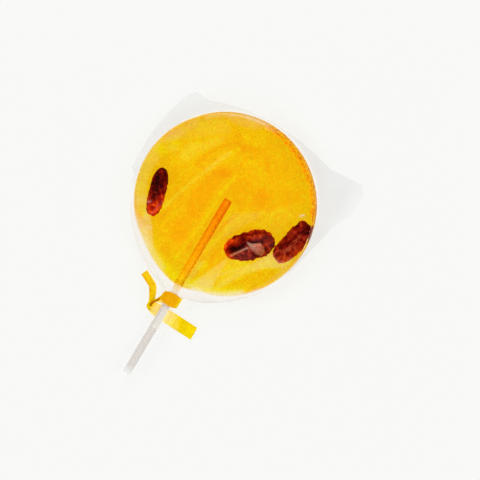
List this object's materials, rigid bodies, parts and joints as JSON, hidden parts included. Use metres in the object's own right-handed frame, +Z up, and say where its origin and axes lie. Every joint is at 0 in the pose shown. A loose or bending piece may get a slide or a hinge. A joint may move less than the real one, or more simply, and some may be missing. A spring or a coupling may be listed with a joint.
{
  "type": "lollipop",
  "caption": "Flat round clear amber hard-candy lollipop with dried berries set in it, on a thin stick, in a clear film bag tied round the stick with a flat yellow twist tie.",
  "frame": {"origin": "on the surface the lollipop lies on, under the centre of the candy disc", "axes": "+Y along the stick from its free end towards the candy, +Z up out of the shown face, +X to the right"},
  "size_m": [0.0713, 0.1, 0.0078],
  "materials": {
    "candy": "clear amber, glossy",
    "berry": "shrivelled, satin",
    "stick": "matt white",
    "film": "clear, glossy",
    "tie": "satin yellow"
  },
  "bodies": {
    "root": {"candy": "candy", "berry_left": "berry", "berry_middle": "berry", "berry_right": "berry", "stick": "stick", "film_bag": "film", "twist_tie": "tie"}
  },
  "joints": []
}
